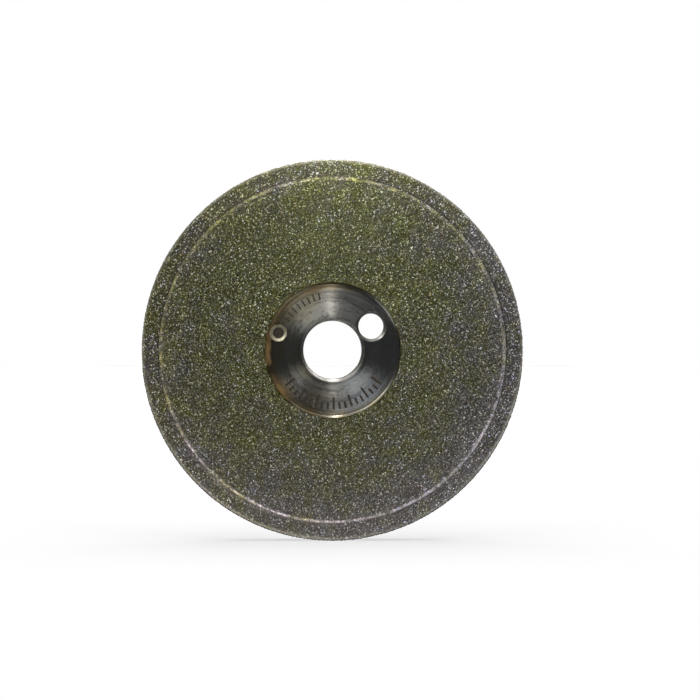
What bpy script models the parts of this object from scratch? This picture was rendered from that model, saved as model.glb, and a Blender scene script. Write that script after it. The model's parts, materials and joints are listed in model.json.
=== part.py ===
"""Double-sided diamond grinding wheel for a small hand-held electrode grinder.

A turned steel core carries a layer of diamond grit in nickel on both grinding
faces and a third one wrapped round its thinner rim. The wheel stands upright: its
axis is Y, its front face looks along -Y, and its origin is its centre. Sizes are
in metres.
"""

import math

import bmesh
import bpy

# Overall sizes
WHEEL_DIAMETER = 0.0520
WHEEL_THICKNESS = 0.0050
RIM_LAND = 0.0024
RIM_STEP = 0.0006
RIM_ROUND = 0.0005

# Hub: the bare steel recess, the spindle bore, the drive-pin hole and the blind spot hole
HUB_DIAMETER = 0.0184
HUB_DEPTH = 0.0009
HUB_FILLET = 0.00025
BORE_DIAMETER = 0.0080
BORE_CHAMFER = 0.0004
DRIVE_HOLE_DIAMETER = 0.0035
DRIVE_HOLE_CHAMFER = 0.00035
DRIVE_WEB = 0.00044
DRIVE_HOLE_ANGLE = math.radians(31.7)
SPOT_HOLE_DIAMETER = 0.0015
SPOT_HOLE_DEPTH = 0.0007
SPOT_HOLE_CHAMFER = 0.0004
SPOT_HOLE_CLEARANCE = 0.00005
SPOT_HOLE_ANGLE = math.radians(162.5)

# Grit layers, and the clearance between each layer and what it is bonded to
GRIT_THICKNESS = 0.0003
GRIT_EDGE_ROUND = 0.0001
BOND_GAP = 0.0003

# Fineness of the round shapes
WHEEL_SEGMENTS = 96
HOLE_SEGMENTS = 40
SPOT_HOLE_SEGMENTS = 24
FILLET_STEPS = 4
EDGE_STEPS = 2
CUTTER_OVERRUN = 0.001

# Worked out from the sizes above; a height is a distance from the mid-plane
WHEEL_RADIUS = WHEEL_DIAMETER / 2
FACE_RADIUS = WHEEL_RADIUS - RIM_LAND
HUB_RADIUS = HUB_DIAMETER / 2
BORE_RADIUS = BORE_DIAMETER / 2
DRIVE_HOLE_RADIUS = DRIVE_HOLE_DIAMETER / 2
DRIVE_HOLE_PITCH = BORE_RADIUS + DRIVE_WEB + DRIVE_HOLE_RADIUS
SPOT_HOLE_RADIUS = SPOT_HOLE_DIAMETER / 2
SPOT_HOLE_MOUTH = SPOT_HOLE_RADIUS + SPOT_HOLE_CHAMFER
SPOT_HOLE_PITCH = HUB_RADIUS - HUB_FILLET - SPOT_HOLE_CLEARANCE - SPOT_HOLE_MOUTH
FACE_HEIGHT = WHEEL_THICKNESS / 2
LAND_HEIGHT = FACE_HEIGHT - RIM_STEP
HUB_HEIGHT = FACE_HEIGHT - HUB_DEPTH
SKIN = GRIT_THICKNESS + BOND_GAP
CORE_RADIUS = WHEEL_RADIUS - SKIN
CORE_FACE_HEIGHT = FACE_HEIGHT - SKIN
CORE_LAND_HEIGHT = LAND_HEIGHT - SKIN
RECESS_IN_CORE = CORE_FACE_HEIGHT - HUB_HEIGHT


def clear_scene():
    """Remove whatever objects the scene starts with."""
    for found in list(bpy.data.objects):
        bpy.data.objects.remove(found, do_unlink=True)


def arc(centre, radius, start, end, steps):
    """Points (radius, height) on a circular arc; one point where the arc shrinks to nothing."""
    if radius <= 0:
        return [centre]
    angles = [start + (end - start) * step / steps for step in range(steps + 1)]
    return [(centre[0] + radius * math.cos(a), centre[1] + radius * math.sin(a)) for a in angles]


def both_sides(half):
    """Close a section that is the same on both sides of the mid-plane."""
    return half + [(radius, -height) for radius, height in reversed(half)]


def turned(name, section, segments, centre=(0.0, 0.0)):
    """Spin a section of (radius, height along Y) points once round an axis parallel to Y."""
    x, z = centre
    mesh = bmesh.new()
    corners = [mesh.verts.new((x + radius, height, z)) for radius, height in section]
    edges = [mesh.edges.new((corners[i - 1], corners[i])) for i in range(len(corners))]
    bmesh.ops.spin(
        mesh,
        geom=corners + edges,
        cent=(x, 0, z),
        axis=(0, 1, 0),
        angle=2 * math.pi,
        steps=segments,
        use_merge=True,
    )
    bmesh.ops.remove_doubles(mesh, verts=mesh.verts, dist=1e-7)
    bmesh.ops.dissolve_degenerate(mesh, edges=mesh.edges, dist=1e-8)
    bmesh.ops.recalc_face_normals(mesh, faces=mesh.faces)
    data = bpy.data.meshes.new(name)
    mesh.to_mesh(data)
    mesh.free()
    data.shade_smooth()
    data.set_sharp_from_angle(angle=math.radians(30))
    part = bpy.data.objects.new(name, data)
    bpy.context.scene.collection.objects.link(part)
    return part


def finish(part, colour, roughness, metallic):
    """Give a part its own material."""
    material = bpy.data.materials.new(part.name)
    material.use_nodes = True
    shader = material.node_tree.nodes["Principled BSDF"]
    shader.inputs["Base Color"].default_value = (*colour, 1)
    shader.inputs["Roughness"].default_value = roughness
    shader.inputs["Metallic"].default_value = metallic
    part.data.materials.append(material)


def core_section():
    """Half of the steel core's section, from the bore's wall out to the rim."""
    bore = [
        (BORE_RADIUS, HUB_HEIGHT - BORE_CHAMFER),
        (BORE_RADIUS + BORE_CHAMFER, HUB_HEIGHT),
    ]
    # The fillet turns up from the hub's floor until it meets the face or stands upright.
    turn = math.acos(max(0.0, 1 - RECESS_IN_CORE / HUB_FILLET))
    fillet_centre = (HUB_RADIUS - HUB_FILLET * math.sin(turn), HUB_HEIGHT + HUB_FILLET)
    start = -math.pi / 2
    fillet = arc(fillet_centre, HUB_FILLET, start, start + turn, FILLET_STEPS)
    if RECESS_IN_CORE > HUB_FILLET:
        fillet.append((HUB_RADIUS, CORE_FACE_HEIGHT))
    rim = [
        (FACE_RADIUS, CORE_FACE_HEIGHT),
        (FACE_RADIUS, CORE_LAND_HEIGHT),
        (CORE_RADIUS, CORE_LAND_HEIGHT),
    ]
    return bore + fillet + rim


def as_cutter(name, section, segments, pitch, angle):
    """A turned solid that is only cut out of the core, its axis at a pitch and an angle from the wheel's."""
    centre = (pitch * math.cos(angle), pitch * math.sin(angle))
    cutter = turned(name, section, segments, centre)
    cutter.hide_render = True
    cutter.display_type = "WIRE"
    return cutter


def drive_hole_cutter():
    """A round bar with a countersink at each hub face, where the drive pin goes through."""
    reach = HUB_HEIGHT + CUTTER_OVERRUN
    half = [
        (0.0, reach),
        (DRIVE_HOLE_RADIUS + DRIVE_HOLE_CHAMFER + CUTTER_OVERRUN, reach),
        (DRIVE_HOLE_RADIUS, HUB_HEIGHT - DRIVE_HOLE_CHAMFER),
    ]
    return as_cutter(
        "drive_hole_cutter", both_sides(half), HOLE_SEGMENTS, DRIVE_HOLE_PITCH, DRIVE_HOLE_ANGLE
    )


def spot_hole_cutter(name, side):
    """A short countersunk bar that leaves a blind hole in one hub face; side is -1 at the front."""
    lift = SPOT_HOLE_CLEARANCE / 2
    section = [
        (0.0, HUB_HEIGHT - SPOT_HOLE_DEPTH),
        (SPOT_HOLE_RADIUS, HUB_HEIGHT - SPOT_HOLE_DEPTH),
        (SPOT_HOLE_RADIUS, HUB_HEIGHT - SPOT_HOLE_CHAMFER),
        (SPOT_HOLE_MOUTH + lift, HUB_HEIGHT + lift),
        (SPOT_HOLE_MOUTH + lift, HUB_HEIGHT + CUTTER_OVERRUN),
        (0.0, HUB_HEIGHT + CUTTER_OVERRUN),
    ]
    section = [(radius, side * height) for radius, height in section]
    return as_cutter(name, section, SPOT_HOLE_SEGMENTS, SPOT_HOLE_PITCH, SPOT_HOLE_ANGLE)


def make_core():
    """The turned steel core, recessed round its bore and stepped down at its rim."""
    core = turned("steel_core", both_sides(core_section()), WHEEL_SEGMENTS)
    cutters = [
        drive_hole_cutter(),
        spot_hole_cutter("front_spot_hole_cutter", -1),
        spot_hole_cutter("back_spot_hole_cutter", 1),
    ]
    for cutter in cutters:
        cut = core.modifiers.new(cutter.name, "BOOLEAN")
        cut.operation = "DIFFERENCE"
        cut.solver = "EXACT"
        cut.object = cutter
    finish(core, (0.33, 0.32, 0.30), 0.3, 1.0)
    return [core, *cutters]


def make_face_layer(name, side):
    """The flat ring of grit on one grinding face; side is -1 at the front and 1 at the back."""
    round_off = min(GRIT_EDGE_ROUND, GRIT_THICKNESS)
    top = FACE_HEIGHT - round_off
    quarter = math.pi / 2
    section = [(HUB_RADIUS, FACE_HEIGHT - GRIT_THICKNESS)]
    section += arc((HUB_RADIUS + round_off, top), round_off, 2 * quarter, quarter, EDGE_STEPS)
    section += arc((FACE_RADIUS - round_off, top), round_off, quarter, 0.0, EDGE_STEPS)
    section.append((FACE_RADIUS, FACE_HEIGHT - GRIT_THICKNESS))
    layer = turned(name, [(radius, side * height) for radius, height in section], WHEEL_SEGMENTS)
    finish(layer, (0.10, 0.10, 0.06), 0.6, 0.4)
    return layer


def make_rim_layer():
    """The channel of grit that wraps the rim: both lands, both corners and the edge."""
    corner = (WHEEL_RADIUS - RIM_ROUND, LAND_HEIGHT - RIM_ROUND)
    quarter = math.pi / 2
    land_start = FACE_RADIUS + BOND_GAP
    inner_round = RIM_ROUND - GRIT_THICKNESS
    inner_centre = corner
    if inner_round <= 0:
        inner_centre = (WHEEL_RADIUS - GRIT_THICKNESS, LAND_HEIGHT - GRIT_THICKNESS)
    outside = [(land_start, LAND_HEIGHT)]
    outside += arc(corner, RIM_ROUND, quarter, 0.0, FILLET_STEPS)
    inside = arc(inner_centre, inner_round, 0.0, quarter, EDGE_STEPS)
    inside.append((land_start, LAND_HEIGHT - GRIT_THICKNESS))
    below = [(radius, -height) for radius, height in reversed(outside)]
    inside_below = [(radius, -height) for radius, height in reversed(inside)]
    layer = turned("rim_grit_layer", outside + below + inside_below + inside, WHEEL_SEGMENTS)
    finish(layer, (0.11, 0.11, 0.08), 0.6, 0.4)
    return layer


def main():
    clear_scene()
    axis = bpy.data.objects.new("wheel_axis", None)
    bpy.context.scene.collection.objects.link(axis)
    parts = make_core()
    parts.append(make_face_layer("front_grit_layer", -1))
    parts.append(make_face_layer("back_grit_layer", 1))
    parts.append(make_rim_layer())
    for part in parts:
        part.parent = axis


main()
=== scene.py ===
"""The looks of a double-sided diamond grinding wheel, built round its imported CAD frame.

The wheel stands upright on its rim with its axis along Y and its front face towards
-Y. Lengths are in metres. A "height" is a distance from the wheel's mid-plane.
"""

import json
import math

import bpy
import numpy as np
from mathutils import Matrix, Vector

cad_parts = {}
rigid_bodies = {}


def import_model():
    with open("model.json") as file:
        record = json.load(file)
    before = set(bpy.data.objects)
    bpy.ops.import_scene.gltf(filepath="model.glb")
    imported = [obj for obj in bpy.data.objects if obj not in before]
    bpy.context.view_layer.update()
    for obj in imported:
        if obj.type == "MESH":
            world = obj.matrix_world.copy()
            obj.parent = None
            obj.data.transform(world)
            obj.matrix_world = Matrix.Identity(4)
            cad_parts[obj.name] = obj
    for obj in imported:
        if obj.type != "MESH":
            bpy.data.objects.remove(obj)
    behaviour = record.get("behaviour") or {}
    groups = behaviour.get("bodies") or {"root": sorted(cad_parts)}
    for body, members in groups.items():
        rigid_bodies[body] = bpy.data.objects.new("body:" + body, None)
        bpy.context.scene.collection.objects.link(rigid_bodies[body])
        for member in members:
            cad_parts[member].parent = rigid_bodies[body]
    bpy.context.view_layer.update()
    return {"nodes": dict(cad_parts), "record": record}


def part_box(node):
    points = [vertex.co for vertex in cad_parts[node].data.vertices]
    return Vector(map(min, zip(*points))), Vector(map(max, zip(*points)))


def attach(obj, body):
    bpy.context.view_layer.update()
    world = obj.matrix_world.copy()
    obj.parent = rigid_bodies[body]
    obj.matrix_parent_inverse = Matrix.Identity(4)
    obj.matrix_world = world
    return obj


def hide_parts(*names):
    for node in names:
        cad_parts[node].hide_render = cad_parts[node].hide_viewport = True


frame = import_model()


# --- Steel core ---------------------------------------------------------------
# The body of the wheel: one disc turned from bar steel, recessed round its bore,
# faced in fine rings by the lathe tool and left bare inside the recess.


def distances_from_axis(node):
    """The nearest and the farthest point of a CAD node from the wheel's axis."""
    mesh = frame["nodes"][node].data
    spots = np.empty(3 * len(mesh.vertices), np.float32)
    mesh.vertices.foreach_get("co", spots)
    x, _, z = spots.reshape(-1, 3).T
    away = np.hypot(x, z)
    return float(away.min()), float(away.max())


bore_radius, _ = distances_from_axis("steel_core")
hub_radius, face_radius = distances_from_axis("front_grit_layer")
land_radius, wheel_radius = distances_from_axis("rim_grit_layer")
face_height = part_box("back_grit_layer")[1].y
land_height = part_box("rim_grit_layer")[1].y
seats = {mount["name"]: mount["pos_m"] for mount in frame["record"]["mounts"]}
hub_height = abs(seats["front_hub_seat"][1])
plating = 0.0003
steel_height = face_height - plating
bore_chamfer = 0.0004
bore_edge_round = 0.00006
fillet_width = 0.00025
turns_round = 360


def bend(centre, reach, start, end, steps):
    """Points (radius, height) on an ellipse: centre + reach * (cos a, sin a), a from start to end."""
    angle = np.radians(np.linspace(start, end, steps + 1))
    radius = centre[0] + reach[0] * np.cos(angle)
    height = centre[1] + reach[1] * np.sin(angle)
    return np.column_stack((radius, height))


def level(start, end, height, count):
    """Points (radius, height) evenly spaced along a flat stretch."""
    return np.column_stack((np.linspace(start, end, count), np.full(count, height)))


def both_sides(half):
    """A closed section from its half on the positive side, mirrored in the mid-plane."""
    return np.vstack((half, half[::-1] * (1, -1)))


def link(name, points, faces):
    """Make an object at the origin from arrays of points and of four- or three-cornered faces."""
    mesh = bpy.data.meshes.new(name)
    corners = faces.shape[1]
    mesh.vertices.add(len(points))
    mesh.vertices.foreach_set("co", np.ascontiguousarray(points, np.float32).ravel())
    mesh.loops.add(faces.size)
    mesh.loops.foreach_set("vertex_index", np.ascontiguousarray(faces, np.int32).ravel())
    mesh.polygons.add(len(faces))
    mesh.polygons.foreach_set("loop_start", np.arange(0, faces.size, corners, dtype=np.int32))
    mesh.update(calc_edges=True)
    mesh.validate()
    piece = bpy.data.objects.new(name, mesh)
    bpy.context.scene.collection.objects.link(piece)
    return piece


def turned(name, section, turns, centre=(0.0, 0.0)):
    """A closed section of (radius, height) points carried once round an axis parallel to Y.

    The point at section place s and turn angle t is
    (centre_x + radius(s) * cos t, height(s), centre_z + radius(s) * sin t).
    """
    following = np.roll(section, -1, axis=0)
    doubled_area = (section[:, 0] * following[:, 1] - following[:, 0] * section[:, 1]).sum()
    if doubled_area < 0:
        section = section[::-1]
    angle = np.linspace(0, 2 * np.pi, turns, endpoint=False)
    radius, height = section[:, :1], section[:, 1:]
    points = np.stack(
        (
            centre[0] + radius * np.cos(angle),
            height + 0 * angle,
            centre[1] + radius * np.sin(angle),
        ),
        axis=-1,
    )
    s, t = np.meshgrid(np.arange(len(section)), np.arange(turns), indexing="ij")
    s_next, t_next = (s + 1) % len(section), (t + 1) % turns
    this, over = s * turns, s_next * turns
    faces = np.stack((this + t, over + t, over + t_next, this + t_next), -1)
    return link(name, points.reshape(-1, 3), faces.reshape(-1, 4))


def smooth(piece, sharp_degrees=30):
    """Shade a piece smooth and keep the edges that are sharper than an angle."""
    piece.data.shade_smooth()
    piece.data.set_sharp_from_angle(angle=math.radians(sharp_degrees))


bore_mouth = bore_radius + bore_chamfer
bore_edge = (bore_mouth - bore_edge_round, hub_height - bore_edge_round)
hub_floor_start = bore_mouth + 0.0001
hub_floor_end = hub_radius - fillet_width
fillet_reach = (fillet_width, steel_height - hub_height)
core_half = np.vstack(
    (
        [[bore_radius, hub_height - bore_chamfer]],
        bend(bore_edge, (bore_edge_round,) * 2, 150, 90, 3),
        level(hub_floor_start, hub_floor_end, hub_height, 9),
        bend((hub_floor_end, steel_height), fillet_reach, -90, 0, 12)[1:],
        [
            [face_radius - plating, steel_height],
            [face_radius - plating, land_height - plating],
            [wheel_radius - plating, land_height - plating],
        ],
    )
)
core = turned("steel_core_body", both_sides(core_half), turns_round)


def place(tree, kind, sockets=None, **settings):
    """Add a shader node; a socket's value is a plain value or the output that feeds it."""
    made = tree.nodes.new(kind)
    for name, value in settings.items():
        setattr(made, name, value)
    for name, value in (sockets or {}).items():
        if isinstance(value, bpy.types.NodeSocket):
            tree.links.new(value, made.inputs[name])
        else:
            made.inputs[name].default_value = value
    return made


def new_material(name, **values):
    """A material with one Principled shader, its tree and that shader."""
    material = bpy.data.materials.new(name)
    material.use_nodes = True
    shader = material.node_tree.nodes["Principled BSDF"]
    for socket, value in values.items():
        shader.inputs[socket.replace("_", " ")].default_value = value
    return material, material.node_tree, shader


def ramp(tree, amount, stops):
    """Colours at places from 0 to 1, blended between them by amount."""
    made = place(tree, "ShaderNodeValToRGB", {"Fac": amount})
    band = made.color_ramp.elements
    while len(band) < len(stops):
        band.new(1.0)
    for element, (spot, colour) in zip(band, stops):
        element.position = spot
        element.color = (*colour, 1)
    return made.outputs["Color"]


def calc(tree, operation, *values):
    """One Math node's result."""
    return place(tree, "ShaderNodeMath", dict(enumerate(values)), operation=operation).outputs[0]


def vector_calc(tree, operation, *values):
    """One Vector Math node's result."""
    made = place(tree, "ShaderNodeVectorMath", dict(enumerate(values)), operation=operation)
    return made.outputs["Value" if operation in ("LENGTH", "DOT_PRODUCT") else "Vector"]


def spread(tree, value, low, high, start=0.0, end=1.0):
    """A value's place between low and high, told as a number from start to end and held there."""
    sockets = {"Value": value, "From Min": low, "From Max": high, "To Min": start, "To Max": end}
    return place(tree, "ShaderNodeMapRange", sockets).outputs[0]


def ring_mask(tree, away, inner, outer, fade):
    """1 between two distances from the axis, fading to 0 within the fade's width on both sides."""
    rising = spread(tree, away, inner - fade, inner)
    return calc(tree, "MULTIPLY", rising, spread(tree, away, outer + fade, outer))


def blend(tree, amount, first, second, kind="MIX"):
    """Two colours mixed, or multiplied with kind MULTIPLY, by an amount."""
    made = place(tree, "ShaderNodeMix", {"Factor": amount}, data_type="RGBA", blend_type=kind)
    for socket, colour in (("A", first), ("B", second)):
        target = next(found for found in made.inputs if found.name == socket and found.type == "RGBA")
        if isinstance(colour, bpy.types.NodeSocket):
            tree.links.new(colour, target)
        else:
            target.default_value = (*colour, 1)
    return next(found for found in made.outputs if found.type == "RGBA")


def noise(tree, spot, scale, detail=2.0, roughness=0.5):
    """Smooth noise from 0 to 1 at a point."""
    sockets = {"Vector": spot, "Scale": scale, "Detail": detail, "Roughness": roughness}
    return place(tree, "ShaderNodeTexNoise", sockets).outputs["Fac"]


def spot_on_wheel(tree):
    """A point of the wheel, the same point without its height, and its distance from the axis."""
    spot = place(tree, "ShaderNodeTexCoord").outputs["Object"]
    flat = vector_calc(tree, "MULTIPLY", spot, (1, 0, 1))
    return spot, flat, vector_calc(tree, "LENGTH", flat)


def turned_steel():
    """Fine lathe rings, a scuffed clamping ring, dried oil and the stretched shine of turned metal.

    The shine's stretch runs away from the axis: normal x (point x axis of the wheel).
    """
    ring_frequency = 2600.0
    ring_depth, ring_strength = 0.000025, 0.8
    dish_slope = 0.04
    stain_start, stain_full = hub_radius - 0.0013, hub_radius - 0.0005
    towards_stain = (-58.0, 0.0, 2.0)
    clamp_inner, clamp_outer, clamp_fade = 0.0050, 0.0063, 0.0004
    material, tree, shader = new_material("turned_steel", Anisotropic=0.95)
    spot, flat, away = spot_on_wheel(tree)
    round_about = vector_calc(tree, "CROSS_PRODUCT", spot, (0, 1, 0))
    facing = place(tree, "ShaderNodeNewGeometry").outputs["Normal"]
    across = vector_calc(tree, "NORMALIZE", vector_calc(tree, "CROSS_PRODUCT", facing, round_about))
    tree.links.new(across, shader.inputs["Tangent"])

    # Rings: noise that changes fast with the distance from the axis and slowly round it.
    climb = calc(tree, "MULTIPLY", away, ring_frequency)
    lifted = place(tree, "ShaderNodeCombineXYZ", {"Y": climb}).outputs[0]
    way = vector_calc(tree, "MULTIPLY", vector_calc(tree, "NORMALIZE", flat), (1.3, 0.0, 1.3))
    ring_place = vector_calc(tree, "ADD", way, lifted)
    coarse_rings = noise(tree, ring_place, 1.2, 4, 0.65)
    fine_rings = noise(tree, ring_place, 14.0, 2)
    stain = noise(tree, flat, 260, 4, 0.6)
    blotch = noise(tree, flat, 2200, 4, 0.7)
    level_strokes = noise(tree, vector_calc(tree, "MULTIPLY", flat, (0.25, 0.0, 9.0)), 1100, 3, 0.6)
    upright_strokes = noise(tree, vector_calc(tree, "MULTIPLY", flat, (9.0, 0.0, 0.4)), 900, 3, 0.6)

    # Stained brown where oil has dried against the recess wall, most at the left.
    edge = spread(tree, away, stain_start, stain_full)
    side = vector_calc(tree, "DOT_PRODUCT", flat, towards_stain)
    wet = calc(tree, "ADD", calc(tree, "MULTIPLY", edge, 0.50), side)
    wet = calc(tree, "ADD", wet, spread(tree, stain, 0.3, 0.7, -0.45, 0.35))
    tint = ramp(
        tree,
        wet,
        (
            (0.0, (0.28, 0.28, 0.275)),
            (0.30, (0.28, 0.26, 0.205)),
            (0.70, (0.25, 0.20, 0.125)),
            (1.0, (0.21, 0.140, 0.065)),
        ),
    )
    dirt = ramp(tree, blotch, ((0.3, (0.86, 0.86, 0.86)), (0.7, (1.0, 1.0, 1.0))))
    colour = blend(tree, 1.0, tint, dirt, "MULTIPLY")

    # Scuffed by the clamp in a ring round the bore, and scratched here and there.
    clamped = ring_mask(tree, away, clamp_inner, clamp_outer, clamp_fade)
    scuff = calc(tree, "MULTIPLY", clamped, spread(tree, blotch, 0.30, 0.70))
    scratch = calc(
        tree,
        "MAXIMUM",
        spread(tree, level_strokes, 0.66, 0.72),
        spread(tree, upright_strokes, 0.66, 0.72),
    )
    scratch_here = calc(tree, "MULTIPLY", scratch, spread(tree, stain, 0.45, 0.60, 0.25, 1.0))
    scuff = calc(tree, "MAXIMUM", scuff, scratch_here)
    colour = blend(tree, calc(tree, "MULTIPLY", scuff, 0.35), colour, (0.40, 0.39, 0.36))
    tree.links.new(colour, shader.inputs["Base Color"])
    ring_roughness = spread(tree, coarse_rings, 0.3, 0.7, 0.20, 0.32)
    rough = calc(tree, "ADD", ring_roughness, calc(tree, "MULTIPLY", scuff, 0.08))
    tree.links.new(rough, shader.inputs["Roughness"])
    tree.links.new(spread(tree, wet, 0.75, 1.15, 1.0, 0.35), shader.inputs["Metallic"])

    coarse_relief = calc(tree, "MULTIPLY", coarse_rings, 0.45)
    relief = calc(tree, "ADD", coarse_relief, calc(tree, "MULTIPLY", fine_rings, 0.16))
    relief = calc(tree, "SUBTRACT", relief, calc(tree, "MULTIPLY", scratch, 0.15))
    # The face falls away from the axis by the dish slope, 1 in 25.
    fall = calc(tree, "MULTIPLY", away, dish_slope / (ring_depth * ring_strength))
    relief = calc(tree, "SUBTRACT", relief, fall)
    sockets = {"Height": relief, "Strength": ring_strength, "Distance": ring_depth}
    bump = place(tree, "ShaderNodeBump", sockets)
    tree.links.new(bump.outputs["Normal"], shader.inputs["Normal"])
    return material


def cut_steel():
    """The brighter, plainer steel of a chamfer or a drilled wall, with a few dull spots."""
    material, tree, shader = new_material("cut_steel", Metallic=1.0)
    spot, _, _ = spot_on_wheel(tree)
    spots = noise(tree, spot, 2500, 3, 0.6)
    steel = ramp(tree, spots, ((0.3, (0.18, 0.177, 0.168)), (0.6, (0.36, 0.357, 0.345))))
    tree.links.new(steel, shader.inputs["Base Color"])
    tree.links.new(spread(tree, spots, 0.3, 0.7, 0.42, 0.30), shader.inputs["Roughness"])
    return material


core.data.materials.append(turned_steel())
core.data.materials.append(cut_steel())
middles = np.empty(3 * len(core.data.polygons))
core.data.polygons.foreach_get("center", middles)
in_bore = np.hypot(middles[::3], middles[2::3]) < bore_mouth - bore_edge_round / 2
core.data.polygons.foreach_set("material_index", in_bore.astype(np.int32))
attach(core, "root")
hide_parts("steel_core")


# --- Drive-pin hole -----------------------------------------------------------
# Drilled right through the hub beside the bore and countersunk at both faces. The
# machine's pin sits in it, so that the wheel can't slip on its spindle.

pin_hole_radius = 0.00175
pin_hole_chamfer = 0.00035
pin_hole_pitch = 0.00619
pin_hole_angle = math.radians(31.7)
drill_overrun = 0.0008
tip_share = 0.001


def from_axis(pitch, angle):
    """The place (x, z) at a distance from the wheel's axis and an angle round from +X."""
    return pitch * math.cos(angle), pitch * math.sin(angle)


def cut(body, tool):
    """Take a closed tool shape out of a body, keep the tool's finish on the cut, discard the tool."""
    step = body.modifiers.new("cut", "BOOLEAN")
    step.operation = "DIFFERENCE"
    step.solver = "EXACT"
    step.material_mode = "TRANSFER"
    step.object = tool
    bpy.context.view_layer.update()
    ready = body.evaluated_get(bpy.context.evaluated_depsgraph_get())
    shape = bpy.data.meshes.new_from_object(ready)
    body.modifiers.remove(step)
    body.data = shape
    bpy.data.objects.remove(tool)


# The tool's profile stops a hair short of its own axis, at a small share of its radius.
drill_half = np.array(
    [
        [pin_hole_radius, hub_height - pin_hole_chamfer],
        [pin_hole_radius + pin_hole_chamfer + drill_overrun, hub_height + drill_overrun],
        [pin_hole_radius * tip_share, hub_height + drill_overrun],
    ]
)
drill = turned("drill", both_sides(drill_half), 144, from_axis(pin_hole_pitch, pin_hole_angle))
drill.data.materials.append(core.data.materials["cut_steel"])
cut(core, drill)


# --- Spot holes ---------------------------------------------------------------
# A small countersunk blind hole in each hub face, at the upper left of the front. Its
# bottom has filled with brown grinding dirt, and its countersink is bright.

spot_hole_radius = 0.00075
spot_hole_depth = 0.0007
spot_hole_chamfer = 0.0004
spot_hole_pitch = 0.00775
spot_hole_angle = math.radians(162.5)
spot_hole_lift = 0.00002


def packed_dirt():
    """Dark brown grinding dirt, dry and rough, packed in the bottom of a hole."""
    material, tree, shader = new_material("packed_dirt", Roughness=0.75)
    spot, _, _ = spot_on_wheel(tree)
    clods = noise(tree, spot, 3500, 4, 0.65)
    brown = ramp(tree, clods, ((0.35, (0.008, 0.005, 0.004)), (0.7, (0.040, 0.024, 0.014))))
    tree.links.new(brown, shader.inputs["Base Color"])
    bump = place(tree, "ShaderNodeBump", {"Height": clods, "Strength": 0.8, "Distance": 0.00008})
    tree.links.new(bump.outputs["Normal"], shader.inputs["Normal"])
    return material


def worn_countersink():
    """A countersink's steel, rubbed pale and a little brassy with dried oil."""
    material, tree, shader = new_material("worn_countersink", Metallic=0.6)
    spot, _, _ = spot_on_wheel(tree)
    film = noise(tree, spot, 1800, 4, 0.6)
    pale = ramp(tree, film, ((0.3, (0.22, 0.20, 0.14)), (0.65, (0.52, 0.50, 0.38))))
    tree.links.new(pale, shader.inputs["Base Color"])
    tree.links.new(spread(tree, film, 0.3, 0.7, 0.58, 0.40), shader.inputs["Roughness"])
    return material


dirt = packed_dirt()
countersink = worn_countersink()
spot_hole_mouth = spot_hole_radius + spot_hole_chamfer + spot_hole_lift
pocket_line = np.array(
    [
        [spot_hole_radius * tip_share, hub_height - spot_hole_depth],
        [spot_hole_radius, hub_height - spot_hole_depth],
        [spot_hole_radius, hub_height - spot_hole_chamfer],
        [spot_hole_mouth, hub_height + spot_hole_lift],
        [spot_hole_mouth, hub_height + drill_overrun],
        [spot_hole_radius * tip_share, hub_height + drill_overrun],
    ]
)
spot_hole_centre = from_axis(spot_hole_pitch, spot_hole_angle)
for side in (-1, 1):
    pocket = turned("pocket", pocket_line * (1, side), 96, spot_hole_centre)
    pocket.data.materials.append(dirt)
    pocket.data.materials.append(countersink)
    levels = np.empty(3 * len(pocket.data.polygons))
    pocket.data.polygons.foreach_get("center", levels)
    on_slope = abs(levels[1::3]) > hub_height - spot_hole_chamfer + spot_hole_lift
    pocket.data.polygons.foreach_set("material_index", on_slope.astype(np.int32))
    cut(core, pocket)


# --- Index marks --------------------------------------------------------------
# Plain graduation lines engraved 0.08 mm deep in the front of the hub: a scale of
# long and short lines below the bore, and a row of finer lines above it on the left.

mark_depth = 0.00008
mark_clearance = 0.0002


def engraving_bars(angles, inner, outer, width):
    """Box-shaped bars on the hub's front, one for each angle, each pointing at the axis.

    A corner is at radius r (inner or outer) along its bar's direction d and half a
    width to either side: r * d + side * width / 2 * (direction at right angles to d).
    """
    turn = np.radians(np.asarray(angles, float))[:, None]
    inner = np.broadcast_to(np.asarray(inner, float), turn.shape[:1])[:, None]
    outer = np.broadcast_to(np.asarray(outer, float), turn.shape[:1])[:, None]
    along = np.concatenate((inner, outer, outer, inner), axis=1)
    aside = np.array([[-0.5, -0.5, 0.5, 0.5]]) * width
    x = along * np.cos(turn) - aside * np.sin(turn)
    z = along * np.sin(turn) + aside * np.cos(turn)
    deep = np.full_like(x, mark_depth - hub_height)
    high = np.full_like(x, -mark_clearance - hub_height)
    points = np.concatenate((np.stack((x, deep, z), -1), np.stack((x, high, z), -1)), axis=1)
    box = np.array([[3, 2, 1, 0], [4, 5, 6, 7], [1, 5, 4, 0], [2, 6, 5, 1], [3, 7, 6, 2], [0, 4, 7, 3]])
    faces = box[None] + 8 * np.arange(len(points))[:, None, None]
    return points.reshape(-1, 3), faces.reshape(-1, 4)


scale_turns = np.linspace(217, 325, 19)
long_start, short_start, scale_end, scale_width = 0.0064, 0.0072, 0.0081, 0.00030
every_third = np.arange(len(scale_turns)) % 3 == 0
scale_starts = np.where(every_third, long_start, short_start)
scale = engraving_bars(scale_turns, scale_starts, scale_end, scale_width)
fine_turns = np.linspace(104, 146, 8)
fine_start, fine_end, fine_width = 0.0070, 0.0080, 0.00020
fine = engraving_bars(fine_turns, fine_start, fine_end, fine_width)
marks = link("marks", np.vstack((scale[0], fine[0])), np.vstack((scale[1], fine[1] + len(scale[0]))))


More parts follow.
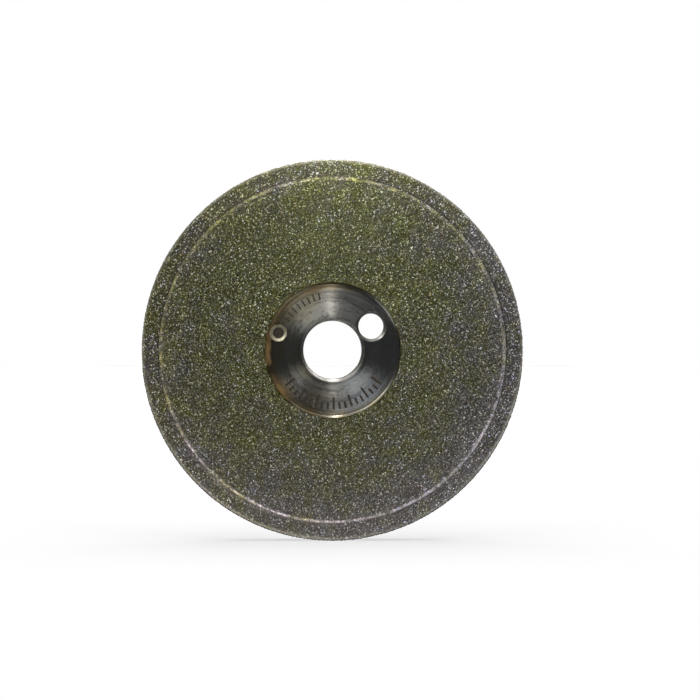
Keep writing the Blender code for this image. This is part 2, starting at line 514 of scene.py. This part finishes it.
def engraved_steel():
    """The burnt brown-black floor of an engraved line."""
    material, tree, shader = new_material("engraved_steel", Metallic=0.6, Roughness=0.6)
    spot, _, _ = spot_on_wheel(tree)
    burn = noise(tree, spot, 9000, 3)
    brown = ramp(tree, burn, ((0.3, (0.02, 0.016, 0.012)), (0.7, (0.07, 0.055, 0.04))))
    tree.links.new(brown, shader.inputs["Base Color"])
    return material


marks.data.materials.append(engraved_steel())
cut(core, marks)
smooth(core)


# --- Nickel plating on the grinding faces -------------------------------------
# The bond that holds the diamonds: nickel plated over the steel in a bath, dull and
# lumpy, ending in a thin crisp edge at the hub. One flat ring on each face.

grain_stand = 0.00011
nickel_height = face_height - grain_stand
nickel_root = 0.00004
shoulder_width = 0.00042
shoulder_drop = 0.00026


def aged_with_painted_light(tree, colour, spot, flat, away):
    """A grit colour as the wheel has aged: olive or grey in patches, worn outside, with painted shade at
    the step's foot and a painted highlight at the outer corner.
    """
    greying = (9.0, 0.0, -15.0)
    worn_start = 0.0200
    corner_highlight_start, corner_highlight_full = wheel_radius - 0.00050, wheel_radius - 0.00025
    step_shade_start, step_shade_end, step_shade_fade = face_radius + 0.00006, face_radius + 0.00034, 0.00012
    patches = noise(tree, flat, 190, 6, 0.80)
    lean = vector_calc(tree, "DOT_PRODUCT", flat, greying)
    grey = calc(tree, "ADD", spread(tree, away, 0.012, 0.024, 0.10, 0.70), lean)
    grey = calc(tree, "ADD", grey, spread(tree, patches, 0.32, 0.68, -0.75, 0.75))
    tint = ramp(tree, grey, ((0.0, (0.98, 0.99, 0.26)), (0.5, (1.0, 0.95, 0.52)), (1.0, (1.0, 0.93, 0.90))))
    colour = blend(tree, 1.0, colour, tint, "MULTIPLY")
    cloud = noise(tree, flat, 420, 3, 0.6)
    shade = ramp(tree, cloud, ((0.3, (0.66, 0.65, 0.64)), (0.7, (1.05, 1.05, 1.05))))
    colour = blend(tree, 1.0, colour, shade, "MULTIPLY")
    worn = spread(tree, away, worn_start, face_radius)
    colour = blend(tree, worn, colour, (1.35, 1.33, 1.52), "MULTIPLY")
    height = calc(tree, "ABSOLUTE", vector_calc(tree, "DOT_PRODUCT", spot, (0, 1, 0)))
    # Painted highlight: a paler band on the land where it turns into the rounded outer corner.
    corner = spread(tree, away, corner_highlight_start, corner_highlight_full)
    corner = calc(tree, "MULTIPLY", corner, spread(tree, height, 0.0010, 0.0014))
    colour = blend(tree, calc(tree, "MULTIPLY", corner, 0.38), colour, (0.18, 0.165, 0.12))
    # Painted shade: a dark ring at the foot of the step between face and land, where the step's shadow
    # falls.
    foot = ring_mask(tree, away, step_shade_start, step_shade_end, step_shade_fade)
    return blend(tree, calc(tree, "MULTIPLY", foot, 0.55), colour, (0.014, 0.010, 0.008))


def plated_nickel():
    """Dull dark nickel, pitted between the grains, with a painted highlight in patches along the face's
    outer edge.
    """
    material, tree, shader = new_material("plated_nickel", Metallic=1.0)
    spot, flat, away = spot_on_wheel(tree)
    lumps = noise(tree, spot, 6000, 3, 0.6)
    tint = ramp(
        tree,
        lumps,
        ((0.3, (0.015, 0.015, 0.012)), (0.55, (0.06, 0.06, 0.05)), (0.8, (0.20, 0.20, 0.17))),
    )
    # Painted highlight: paler nickel in noisy patches along the rounded outer shoulder of the face.
    shoulder = ring_mask(tree, away, face_radius - shoulder_width, face_radius - 0.0001, 0.0001)
    highlight_patches = spread(tree, noise(tree, flat, 800, 4, 0.75), 0.42, 0.60, 0.0, 0.80)
    shoulder_highlight = calc(tree, "MULTIPLY", shoulder, highlight_patches)
    tint = blend(tree, shoulder_highlight, tint, (0.36, 0.34, 0.35))
    tree.links.new(aged_with_painted_light(tree, tint, spot, flat, away), shader.inputs["Base Color"])
    tree.links.new(spread(tree, lumps, 0.3, 0.7, 0.38, 0.58), shader.inputs["Roughness"])
    bump = place(tree, "ShaderNodeBump", {"Height": lumps, "Strength": 0.8, "Distance": 0.00006})
    tree.links.new(bump.outputs["Normal"], shader.inputs["Normal"])
    return material


nickel = plated_nickel()
plating_round = 0.0001


def face_plating(name, side, node):
    """One face's ring of nickel; side is -1 at the front and 1 at the back."""
    inner_edge = (hub_radius + plating_round, nickel_height - plating_round)
    shoulder = (face_radius - shoulder_width, nickel_height - shoulder_drop)
    section = np.vstack(
        (
            [[hub_radius, steel_height - nickel_root]],
            bend(inner_edge, (plating_round,) * 2, 180, 90, 4),
            level(hub_radius + 0.0003, face_radius - shoulder_width - 0.0001, nickel_height, 24),
            bend(shoulder, (shoulder_width, shoulder_drop), 90, 0, 8),
            [[face_radius, steel_height - nickel_root]],
        )
    )
    ring = turned(name, section * (1, side), turns_round)
    smooth(ring)
    ring.data.materials.append(nickel)
    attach(ring, "root")
    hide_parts(node)


face_plating("front_face_plating", -1, "front_grit_layer")
face_plating("back_face_plating", 1, "back_grit_layer")


# --- Diamonds on the grinding faces -------------------------------------------
# A single layer of blocky man-made crystals about a quarter of a millimetre across,
# olive, yellow-green, grey or nearly clear. They stand out of the nickel by less
# than half their height, and the tallest are worn level.

grain_spacing = 0.00026
grain_size, size_spread = 0.000125, 0.15
corner_spread, stretch_spread = 0.16, 0.12
growth_limits = (0.6, 1.4)
sunk_mean, sunk_spread, sunk_limits = -0.25, 0.30, (-0.9, 0.35)
grain_shade_spread, facet_shade_spread = 0.17, 0.20
face_variety = 1.05
face_shift = 0.36
box_margin = 0.000002
octahedron = 1.12 * np.array(
    [[1, 0, 0], [-1, 0, 0], [0, 1, 0], [0, -1, 0], [0, 0, 1], [0, 0, -1]], float
)
octahedron_faces = np.array(
    [[0, 2, 4], [2, 1, 4], [1, 3, 4], [3, 0, 4], [2, 0, 5], [1, 2, 5], [3, 1, 5], [0, 3, 5]]
)
cube = np.array([[x, y, z] for x in (-1, 1) for y in (-1, 1) for z in (-1, 1)], float) * 0.60
cube_faces = np.array(
    [
        [0, 1, 3], [0, 3, 2], [4, 6, 7], [4, 7, 5], [0, 4, 5], [0, 5, 1],
        [2, 3, 7], [2, 7, 6], [0, 2, 6], [0, 6, 4], [1, 5, 7], [1, 7, 3],
    ]
)


def random_turns(count, chance):
    """Evenly spread random rotations as matrices, from unit quaternions (w, x, y, z)."""
    quaternions = chance.normal(size=(4, count))
    w, x, y, z = quaternions / np.linalg.norm(quaternions, axis=0)
    rows = (
        (1 - 2 * (y * y + z * z), 2 * (x * y - w * z), 2 * (x * z + w * y)),
        (2 * (x * y + w * z), 1 - 2 * (x * x + z * z), 2 * (y * z - w * x)),
        (2 * (x * z - w * y), 2 * (y * z + w * x), 1 - 2 * (x * x + y * y)),
    )
    return np.moveaxis(np.array(rows), -1, 0)


def crystals(name, seats_at, outward, stand_most, variety, chance, node):
    """Closed crystals seated at points, each turned at random and worn level with the wheel's surface.

    A crystal corner is seat + R * (corner * size * uneven growth). How far it stands
    along the outward direction is then held to the most that a grain may stand, and
    the corner is held inside the wheel's own radius and thickness. Variety scales how
    much the grains and their facets differ in shade.
    """
    count = len(seats_at)
    octahedral = chance.random(count) < 0.5
    size = grain_size * chance.normal(1.0, size_spread, count).clip(*growth_limits)
    sunk = chance.normal(sunk_mean, sunk_spread, count).clip(*sunk_limits) * size
    shade = chance.normal(0.5, grain_shade_spread * variety, count)
    habits = ((octahedral, octahedron, octahedron_faces), (~octahedral, cube, cube_faces))
    all_points, all_faces, all_shades, all_kinds, start = [], [], [], [], 0
    for chosen, corners, sides in habits:
        number = int(chosen.sum())
        uneven = chance.normal(1.0, corner_spread, (number, len(corners), 1)).clip(*growth_limits)
        grown = corners[None] * uneven
        grown = grown * chance.normal(1.0, stretch_spread, (number, 1, 3)) * size[chosen, None, None]
        spun = np.einsum("nij,nkj->nki", random_turns(number, chance), grown)
        out = outward[chosen, None, :]
        risen = (spun * out).sum(-1, keepdims=True)
        sink = np.minimum(risen + sunk[chosen, None, None], stand_most) - risen
        spun = spun + sink * out + seats_at[chosen, None, :]
        faces = sides[None] + len(corners) * np.arange(number)[:, None, None] + start
        start += number * len(corners)
        all_points.append(spun.reshape(-1, 3))
        all_faces.append(faces.reshape(-1, 3))
        facet_shades = chance.normal(0.0, facet_shade_spread * variety, (number, len(sides)))
        all_shades.append((shade[chosen, None] + facet_shades).ravel())
        all_kinds.append(np.repeat(chance.random(number), len(sides)))
    points = np.vstack(all_points)
    reach = (wheel_radius - box_margin) / np.hypot(points[:, 0], points[:, 2])
    points[:, ::2] *= np.minimum(reach, 1.0)[:, None]
    points[:, 1] = points[:, 1].clip(box_margin - face_height, face_height - box_margin)
    piece = link(name, points, np.vstack(all_faces))
    for attribute, values in (("facet", all_shades), ("kind", all_kinds)):
        piece.data.attributes.new(attribute, "FLOAT", "FACE").data.foreach_set(
            "value", np.concatenate(values).clip(0, 1).astype(np.float32)
        )
    piece.data.materials.append(diamond)
    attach(piece, "root")
    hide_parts(node)
    return piece


def diamond_grit():
    """Glassy crystals, from smoky to nearly clear, each facet with its own shade."""
    material, tree, shader = new_material("diamond_grit", IOR=1.7)
    facet = place(tree, "ShaderNodeAttribute", attribute_name="facet").outputs["Fac"]
    spot, flat, away = spot_on_wheel(tree)
    depth = ramp(
        tree,
        facet,
        (
            (0.0, (0.006, 0.006, 0.006)),
            (0.25, (0.026, 0.026, 0.025)),
            (0.50, (0.098, 0.098, 0.094)),
            (0.78, (0.21, 0.21, 0.208)),
            (1.0, (0.50, 0.50, 0.54)),
        ),
    )
    # Each grain leans to one of the colours that such grit is mixed from.
    kind = place(tree, "ShaderNodeAttribute", attribute_name="kind").outputs["Fac"]
    cast = ramp(
        tree,
        kind,
        (
            (0.0, (1.14, 0.98, 0.86)),
            (0.35, (1.02, 1.03, 0.80)),
            (0.65, (0.98, 1.02, 1.00)),
            (1.0, (0.94, 0.98, 1.24)),
        ),
    )
    depth = blend(tree, 1.0, depth, cast, "MULTIPLY")
    clear = spread(tree, facet, 0.75, 1.0, 0.0, 0.6)
    colour = blend(tree, clear, aged_with_painted_light(tree, depth, spot, flat, away), depth)
    tree.links.new(colour, shader.inputs["Base Color"])
    scuff = noise(tree, spot, 14000, 2)
    tree.links.new(spread(tree, scuff, 0.3, 0.7, 0.10, 0.34), shader.inputs["Roughness"])
    return material


diamond = diamond_grit()


def face_seats(side, chance):
    """Seats on one face and their outward directions: a six-way lattice, each seat moved at random.

    Over the outer shoulder a seat sinks by drop * (1 - sqrt(1 - u^2)), where u is how
    far it is across the shoulder, and its direction tilts outwards as that curve does.
    """
    rows = int(2 * face_radius / (grain_spacing * math.sqrt(0.75))) + 2
    columns = int(2 * face_radius / grain_spacing) + 2
    row, column = np.meshgrid(np.arange(rows), np.arange(columns), indexing="ij")
    x = (column + 0.5 * (row % 2)).ravel() * grain_spacing - face_radius
    z = row.ravel() * grain_spacing * math.sqrt(0.75) - face_radius
    x = x + chance.uniform(-face_shift, face_shift, x.size) * grain_spacing
    z = z + chance.uniform(-face_shift, face_shift, z.size) * grain_spacing
    away = np.hypot(x, z)
    kept = (away > hub_radius + 0.00012) & (away < face_radius - 0.00005)
    x, z, away = x[kept], z[kept], away[kept]
    over = ((away - face_radius + shoulder_width) / shoulder_width).clip(0, 0.95)
    sag = shoulder_drop * (1 - np.sqrt(1 - over**2))
    seats_at = np.column_stack((x, side * (nickel_height - sag), z))
    tilt = np.arctan2(shoulder_drop * over, shoulder_width * np.sqrt(1 - over**2))
    outward = np.column_stack((np.sin(tilt) * x / away, side * np.cos(tilt), np.sin(tilt) * z / away))
    return seats_at, outward


zone_split = 0.0176
for name, side, node, seed in (
    ("front_face_diamonds", -1, "front_grit_layer", 11),
    ("back_face_diamonds", 1, "back_grit_layer", 12),
):
    chance = np.random.default_rng(seed)
    spots, outward = face_seats(side, chance)
    inner = np.hypot(spots[:, 0], spots[:, 2]) < zone_split
    for zone, chosen in (("inner", inner), ("outer", ~inner)):
        crystals(
            f"{name}_{zone}",
            spots[chosen],
            outward[chosen],
            grain_stand,
            face_variety,
            chance,
            node,
        )


# --- Rim plating and diamonds -------------------------------------------------
# The same plating carried from the edge of each face down the step, across the
# lower land, round both corners and over the wheel's edge.

corner_round = 0.0005
rim_grain_stand = 0.00007
rim_variety = 1.5
rim_shift_along, rim_shift_round = 0.4, 0.36
step_foot = land_radius + 0.00005
step_fillet = 0.00012
wall_top = face_height - shoulder_drop - 0.00010


def rim_path(inset):
    """The rim's outer line on the positive side, from the step's top to the edge, moved inwards."""
    round_left = corner_round - inset
    foot = (step_foot - inset + step_fillet, land_height - inset + step_fillet)
    land_start = step_foot + step_fillet + 0.0001
    corner = (wheel_radius - corner_round, land_height - corner_round)
    return np.vstack(
        (
            [[face_radius - inset, wall_top - inset]],
            bend(foot, (step_fillet,) * 2, 180, 270, 5),
            level(land_start, wheel_radius - corner_round, land_height - inset, 6),
            bend(corner, (round_left,) * 2, 90, 0, 8)[1:],
        )
    )


skin = both_sides(rim_path(rim_grain_stand))
lining = both_sides(rim_path(plating + nickel_root))
rim = turned("rim_plating", np.vstack((skin, lining[::-1])), turns_round)
smooth(rim)
rim.data.materials.append(nickel)
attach(rim, "root")
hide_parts("rim_grit_layer")


def rim_seats(chance):
    """Seats along the rim's line, in rows one spacing apart, each row carried round the wheel.

    A seat at distance s along the line and turn t is the line's point at s, turned by
    t; both are moved a little at random. Its outward direction is the line's normal.
    """
    step = np.diff(skin, axis=0)
    length = np.hypot(*step.T)
    travelled = np.concatenate(([0], np.cumsum(length)))
    rows = np.arange(0.5, travelled[-1] / grain_spacing) * grain_spacing
    per_row = np.round(2 * np.pi * np.interp(rows, travelled, skin[:, 0]) / grain_spacing).astype(int)
    seats_in_all = per_row.sum()
    shift_along = chance.uniform(-rim_shift_along, rim_shift_along, seats_in_all)
    s = (np.repeat(rows, per_row) + shift_along * grain_spacing).clip(0, travelled[-1])
    first = np.repeat(np.cumsum(per_row) - per_row, per_row)
    row_start = chance.random(len(rows)).repeat(per_row)
    shift_round = chance.uniform(-rim_shift_round, rim_shift_round, seats_in_all)
    place_in_row = np.arange(seats_in_all) - first + row_start + shift_round
    turn = place_in_row / per_row.repeat(per_row) * 2 * np.pi
    radius, height = np.interp(s, travelled, skin[:, 0]), np.interp(s, travelled, skin[:, 1])
    stretch = np.searchsorted(travelled, s, side="right").clip(1, len(length)) - 1
    along = step[stretch] / length[stretch, None]
    out_radius, out_height = -along[:, 1], along[:, 0]
    spots = np.column_stack((radius * np.cos(turn), height, radius * np.sin(turn)))
    out = np.column_stack((out_radius * np.cos(turn), out_height, out_radius * np.sin(turn)))
    return spots, out


chance = np.random.default_rng(13)
rim_spots, rim_out = rim_seats(chance)
at_front = rim_spots[:, 1] < 0
for name, chosen in (("rim_diamonds_front", at_front), ("rim_diamonds_back", ~at_front)):
    crystals(
        name,
        rim_spots[chosen],
        rim_out[chosen],
        rim_grain_stand,
        rim_variety,
        chance,
        "rim_grit_layer",
    )


# --- Floor, lights and camera -------------------------------------------------
# A seamless white floor that shows only the wheel's own soft shadow, in a dim pale
# room. In front, some lights fall only on the grit and some only on the bare steel,
# so that both show well, and three more stand behind the wheel.

floor_reach = 2.0
floor_corners = np.array([[-1, -1], [1, -1], [1, 1], [-1, 1]]) * floor_reach
floor = link("floor", np.column_stack((floor_corners, np.full(4, -wheel_radius))), np.array([[0, 1, 2, 3]]))
floor_paint, _, _ = new_material("floor_paint", Base_Color=(0.9, 0.9, 0.9, 1.0), Roughness=0.8)
floor.data.materials.append(floor_paint)
floor.is_shadow_catcher = True
floor.visible_glossy = False

grit_pieces = bpy.data.collections.new("grit_pieces")
steel_pieces = bpy.data.collections.new("steel_pieces")
wheel_pieces = bpy.data.collections.new("wheel_pieces")
floor_only = bpy.data.collections.new("floor_only")
floor_only.objects.link(floor)
for piece in bpy.context.scene.objects:
    if piece.type == "MESH" and piece is not floor:
        wheel_pieces.objects.link(piece)
        gritty = "diamonds" in piece.name or "plating" in piece.name
        (grit_pieces if gritty else steel_pieces).objects.link(piece)


def soft_light(
    name, clock, lean, distance, width, height, watts, colour,
    lit=None, shaded=None, target=(0.0, 0.0), beam=180,
):
    """A rectangular light, hidden from the camera, that faces a point of the front.

    The light stands clock degrees round from +X and lean degrees off the wheel's axis,
    seen from its target (x, z). The beam is its opening angle. It lights only what is
    in lit, and only what is in shaded casts its shadows, where those are given.
    """
    clock, lean = math.radians(clock), math.radians(lean)
    aim = Vector((math.cos(clock) * math.sin(lean), -math.cos(lean), math.sin(clock) * math.sin(lean)))
    lamp = bpy.data.lights.new(name, "AREA")
    lamp.shape = "RECTANGLE"
    lamp.size, lamp.size_y = width, height
    lamp.energy = watts
    lamp.color = colour
    lamp.spread = math.radians(beam)
    holder = bpy.data.objects.new(name, lamp)
    holder.location = aim * distance + Vector((target[0], 0, target[1]))
    holder.rotation_euler = aim.to_track_quat("Z", "Y").to_euler()
    holder.visible_camera = False
    holder.light_linking.receiver_collection = lit
    holder.light_linking.blocker_collection = shaded
    bpy.context.scene.collection.objects.link(holder)


warm, white, cool = (1.0, 0.97, 0.90), (1.0, 0.99, 0.95), (0.86, 0.92, 1.0)
soft_light("key_light", 126, 55, 0.35, 0.20, 0.20, 0.66, white, grit_pieces)
soft_light("high_light", 82, 66, 0.20, 0.10, 0.05, 0.08, white, grit_pieces)
soft_light("low_light", 318, 55, 0.14, 0.08, 0.08, 0.12, cool, grit_pieces)
soft_light("low_fill", 246, 44, 0.16, 0.16, 0.06, 0.56, warm, grit_pieces)
# Three tiny lamps close to the grit, which make its facets sparkle.
for name, clock, watts, target in (
    ("top_sparkle", 84, 0.0032, (0.0, 0.022)),
    ("right_sparkle", 30, 0.0010, (0.020, 0.012)),
    ("low_sparkle", 315, 0.0080, (0.017, -0.016)),
):
    soft_light(name, clock, 30, 0.060, 0.004, 0.004, watts, cool, grit_pieces, None, target, 50)
# Three lights level with the wheel, which brighten its rounded corner.
for name, clock, width, watts, colour in (
    ("left_rim", 185, 0.12, 0.34, warm),
    ("right_rim", 345, 0.12, 0.34, white),
    ("low_rim", 262, 0.20, 0.50, cool),
):
    soft_light(name, clock, 86, 0.30, width, 0.12, watts, colour, grit_pieces, wheel_pieces)
soft_light("hub_key", 128, 44, 0.35, 0.34, 0.14, 0.52, (1.0, 0.95, 0.82), steel_pieces)
soft_light("hub_graze", 128, 78, 0.30, 0.16, 0.16, 0.28, white, steel_pieces, floor_only)
soft_light("hub_glint", 91, 56, 0.20, 0.003, 0.10, 0.26, (1.0, 0.96, 0.88), steel_pieces, floor_only)
soft_light("hub_right", 62, 45, 0.30, 0.20, 0.10, 0.13, white, steel_pieces)
soft_light("hub_side", 216, 45, 0.20, 0.11, 0.05, 0.09, warm, steel_pieces)
soft_light("hub_low", 312, 45, 0.14, 0.10, 0.06, 0.07, (0.78, 0.88, 1.0), steel_pieces)
soft_light("back_key_light", 54, 125, 0.35, 0.20, 0.20, 1.0, white, wheel_pieces)
soft_light("back_hub_light", 60, 140, 0.35, 0.30, 0.14, 0.60, white, steel_pieces)
soft_light("back_top_light", 90, 125, 0.14, 0.012, 0.07, 0.22, white, wheel_pieces)
soft_light("overhead_panel", 90, 90, 1.0, 1.5, 1.5, 6.0, (1.0, 1.0, 1.0))
soft_light("floor_fill", 90, 90, 1.0, 1.5, 1.5, 9.0, (1.0, 1.0, 1.0), floor_only, floor_only)

room = bpy.data.worlds.new("room")
room.use_nodes = True
bpy.context.scene.world = room
room_tree = room.node_tree
air = room_tree.nodes["Background"]
air.inputs["Color"].default_value = (0.75, 0.78, 0.80, 1)
air.inputs["Strength"].default_value = 0.10
backdrop = place(room_tree, "ShaderNodeBackground", {"Color": (1, 1, 1, 1), "Strength": 1.0})
seen = place(room_tree, "ShaderNodeLightPath").outputs["Is Camera Ray"]
between = place(room_tree, "ShaderNodeMixShader", {0: seen, 1: air.outputs[0], 2: backdrop.outputs[0]})
room_tree.links.new(between.outputs[0], room_tree.nodes["World Output"].inputs["Surface"])
bpy.context.scene.view_settings.view_transform = "Standard"

camera_distance = 0.30
frame_width = 0.0959
camera_turn = math.radians(-1.5)
camera_rise = 0.004
camera_aim = Vector((0.00240, 0.0, 0.0))
camera_side = Vector((math.sin(camera_turn), -math.cos(camera_turn), camera_rise))
camera_data = bpy.data.cameras.new("camera")
camera_data.sensor_width = 36
camera_data.lens = camera_data.sensor_width * camera_distance / frame_width
camera = bpy.data.objects.new("camera", camera_data)
camera.location = camera_aim + camera_side * camera_distance
camera.rotation_euler = camera_side.to_track_quat("Z", "Y").to_euler()
bpy.context.scene.collection.objects.link(camera)
bpy.context.scene.camera = camera
